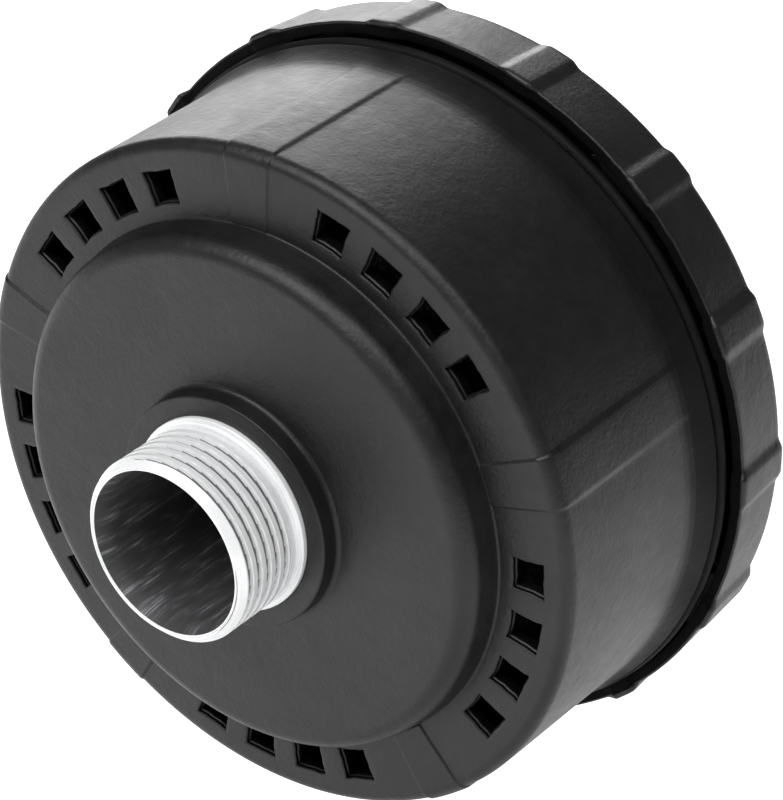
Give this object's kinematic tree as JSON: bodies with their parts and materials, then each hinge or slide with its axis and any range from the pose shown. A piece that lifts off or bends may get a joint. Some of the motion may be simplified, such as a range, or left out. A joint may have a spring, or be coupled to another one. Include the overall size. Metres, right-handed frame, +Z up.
{
  "type": "air intake silencer filter",
  "caption": "Round intake silencer with a slotted black housing, a metal pipe-thread nipple, a screw-off ribbed cover and a pleated cartridge inside.",
  "frame": {"origin": "on the axis at the shoulder of the threaded nipple, where a port's face seats", "axes": "-Y along the axis out of the nipple, +Y towards the cover, +Z up, +X to the right seen from the nipple side"},
  "size_m": [0.1063, 0.067, 0.1067],
  "materials": {
    "housing_plastic": "satin moulded, fine grain",
    "cover_plastic": "satin moulded, fine grain",
    "nipple_metal": "bright turned",
    "plated_steel": "zinc plated",
    "tube_steel": "drawn, perforated",
    "seal_rubber": "matte",
    "cap_rubber": "cast polyurethane, satin",
    "filter_paper": "resin-treated paper",
    "prefilter_foam": "open-cell foam",
    "absorber_felt": "needled felt",
    "pad_felt": "needled felt"
  },
  "bodies": {
    "housing_unit": {"housing": "housing_plastic", "threaded_nipple": "nipple_metal", "nipple_seal": "seal_rubber", "lock_washer": "plated_steel", "ring_nut": "nipple_metal", "silencer_tube": "tube_steel", "absorber_sleeve": "absorber_felt", "absorber_clip": "plated_steel"},
    "cartridge": {"front_end_cap": "cap_rubber", "front_seal_ring": "seal_rubber", "rear_end_cap": "cap_rubber", "pleated_media": "filter_paper", "inner_core": "plated_steel", "outer_screen": "plated_steel", "foam_prefilter": "prefilter_foam"},
    "cover_unit": {"cover": "cover_plastic", "cover_gasket": "seal_rubber", "acoustic_pad": "pad_felt"}
  },
  "joints": [
    {"name": "cover_draw", "type": "slide", "parent": "housing_unit", "child": "cartridge", "axis": [0, 1, 0], "range_m": [0, 0.05]},
    {"name": "cover_turn", "type": "hinge", "parent": "cartridge", "child": "cover_unit", "pos_m": [0, 0.05, 0], "axis": [0, 1, 0], "range_deg": [0, 900.1]}
  ],
  "couplings": [
    {"joint": "cover_turn", "follows": "cover_draw", "rad_per_m": 314.16}
  ]
}
